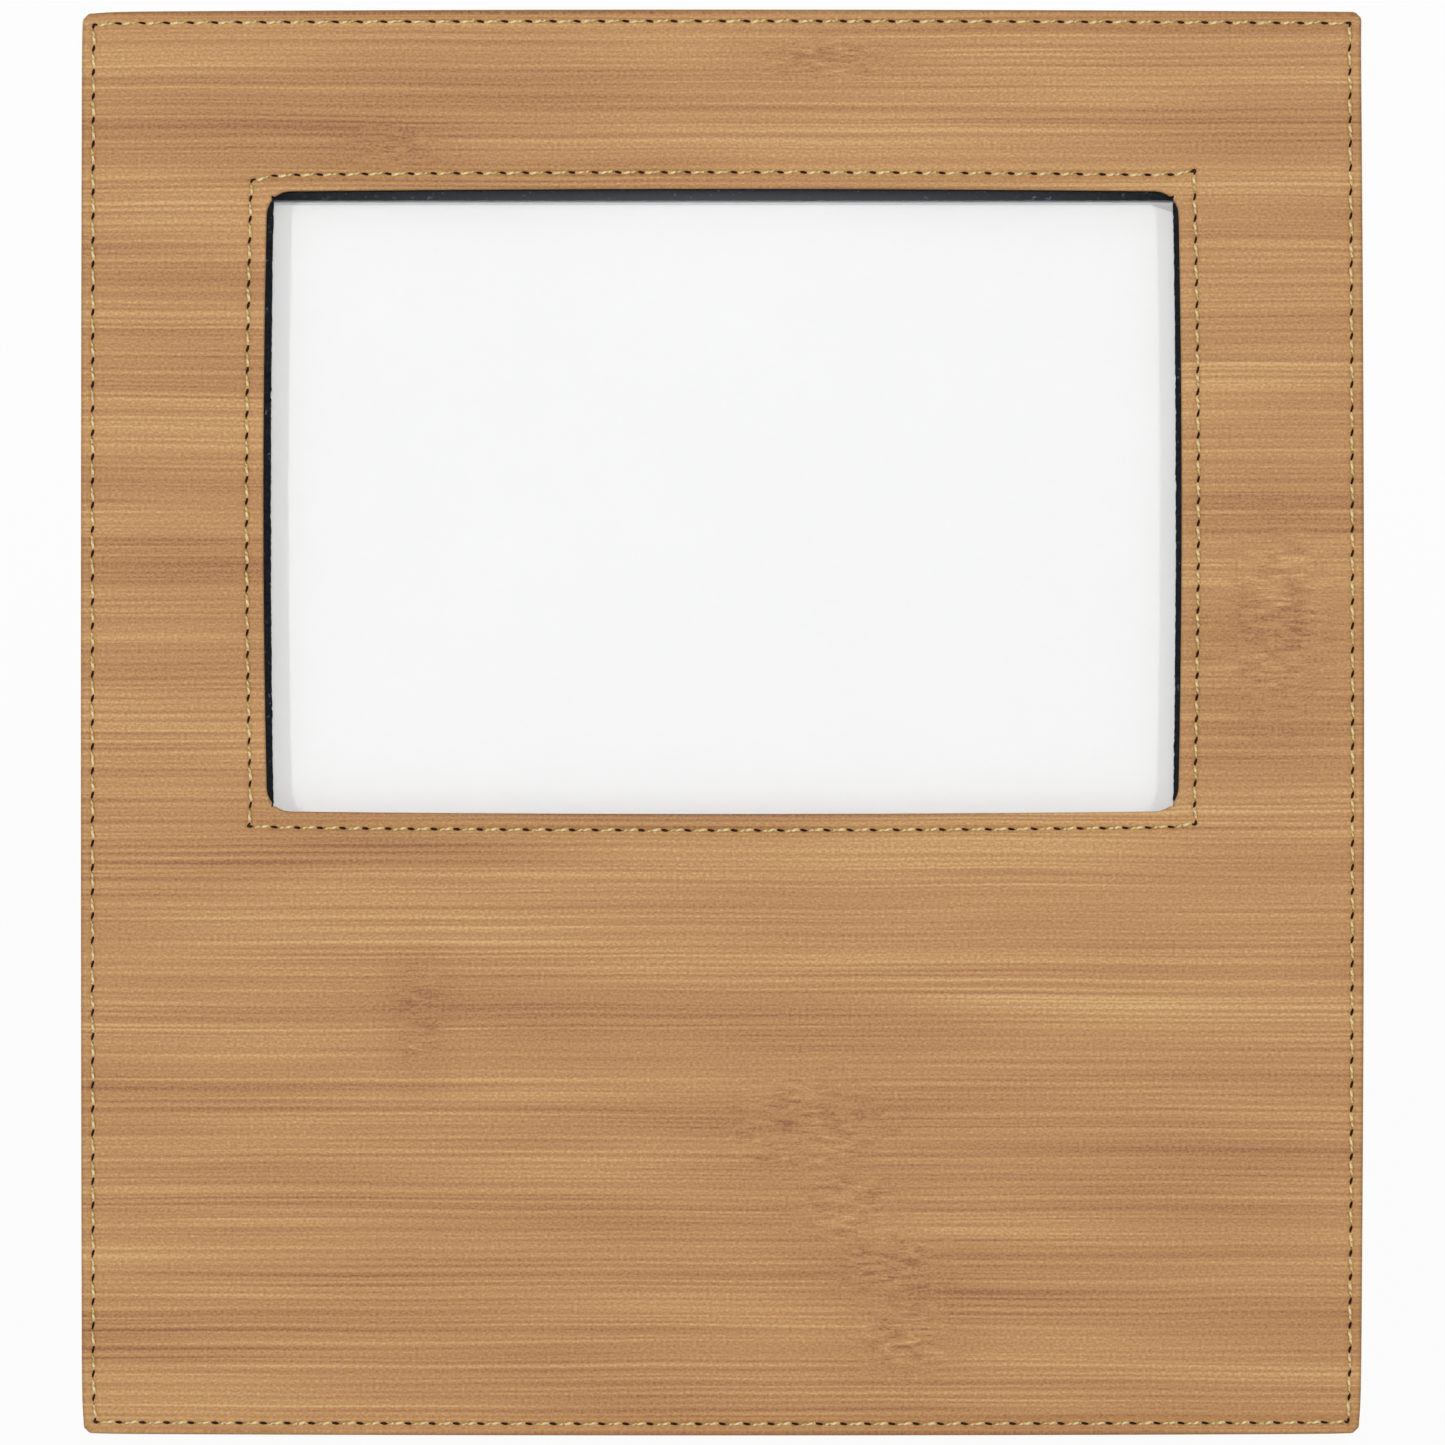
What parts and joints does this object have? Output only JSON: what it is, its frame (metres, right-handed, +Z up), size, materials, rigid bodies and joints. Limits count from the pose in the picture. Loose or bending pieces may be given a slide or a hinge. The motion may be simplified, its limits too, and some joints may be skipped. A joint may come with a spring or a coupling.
{
  "type": "leatherette photo frame",
  "caption": "Portrait leatherette photo frame with a stitched edge, a stitched landscape window, a glazed pocket, a back panel under turn buttons and a folding easel leg.",
  "frame": {"origin": "on the table, under the middle of the leaning frame's box", "axes": "+Z up; the face looks along -Y and leans back; +X to the right as seen from the front"},
  "size_m": [0.2286, 0.0828, 0.2491],
  "materials": {
    "leatherette": "satin, printed with a horizontal bamboo grain",
    "thread": "twisted sewing thread",
    "grey_board": "matt",
    "black_paper": "matt",
    "wood_board": "fine fibreboard",
    "glass": "clear",
    "white_paper": "matt",
    "pale_card": "matt",
    "black_board": "hardboard covered in black paper",
    "plated_steel": "nickel plated"
  },
  "bodies": {
    "frame": {"front_cover": "leatherette", "edge_seam": "thread", "window_seam": "thread", "front_board": "grey_board", "window_lining": "black_paper", "body_frame": "wood_board", "glass": "glass", "photo_insert": "white_paper", "packing_card": "pale_card", "back_panel": "black_board", "panel_leaf": "plated_steel", "hinge_pin": "plated_steel", "panel_rivet_1": "plated_steel", "panel_rivet_2": "plated_steel", "screw_1": "plated_steel", "screw_2": "plated_steel", "screw_3": "plated_steel", "screw_4": "plated_steel", "screw_5": "plated_steel", "screw_6": "plated_steel"},
    "leg": {"easel_leg": "black_board", "leg_leaf": "plated_steel", "leg_rivet_1": "plated_steel", "leg_rivet_2": "plated_steel"},
    "button_1": {"turn_button_1": "plated_steel"},
    "button_2": {"turn_button_2": "plated_steel"},
    "button_3": {"turn_button_3": "plated_steel"},
    "button_4": {"turn_button_4": "plated_steel"},
    "button_5": {"turn_button_5": "plated_steel"},
    "button_6": {"turn_button_6": "plated_steel"}
  },
  "joints": [
    {"name": "leg_hinge", "type": "hinge", "parent": "frame", "child": "leg", "pos_m": [0, 0.00888, 0.14499], "axis": [1, 0, 0], "range_deg": [-26, 0]},
    {"name": "button_1_turn", "type": "hinge", "parent": "frame", "child": "button_1", "pos_m": [-0.06, 0.02796, 0.23226], "axis": [0, 0.9703, -0.2419], "range_deg": [-90, 90]},
    {"name": "button_2_turn", "type": "hinge", "parent": "frame", "child": "button_2", "pos_m": [0.06, 0.02796, 0.23226], "axis": [0, 0.9703, -0.2419], "range_deg": [-90, 90]},
    {"name": "button_3_turn", "type": "hinge", "parent": "frame", "child": "button_3", "pos_m": [0.0983, 0.01033, 0.16153], "axis": [0, 0.9703, -0.2419], "range_deg": [-90, 90]},
    {"name": "button_4_turn", "type": "hinge", "parent": "frame", "child": "button_4", "pos_m": [0.06, -0.00731, 0.0908], "axis": [0, 0.9703, -0.2419], "range_deg": [-90, 90]},
    {"name": "button_5_turn", "type": "hinge", "parent": "frame", "child": "button_5", "pos_m": [-0.06, -0.00731, 0.0908], "axis": [0, 0.9703, -0.2419], "range_deg": [-90, 90]},
    {"name": "button_6_turn", "type": "hinge", "parent": "frame", "child": "button_6", "pos_m": [-0.0983, 0.01033, 0.16153], "axis": [0, 0.9703, -0.2419], "range_deg": [-90, 90]}
  ]
}
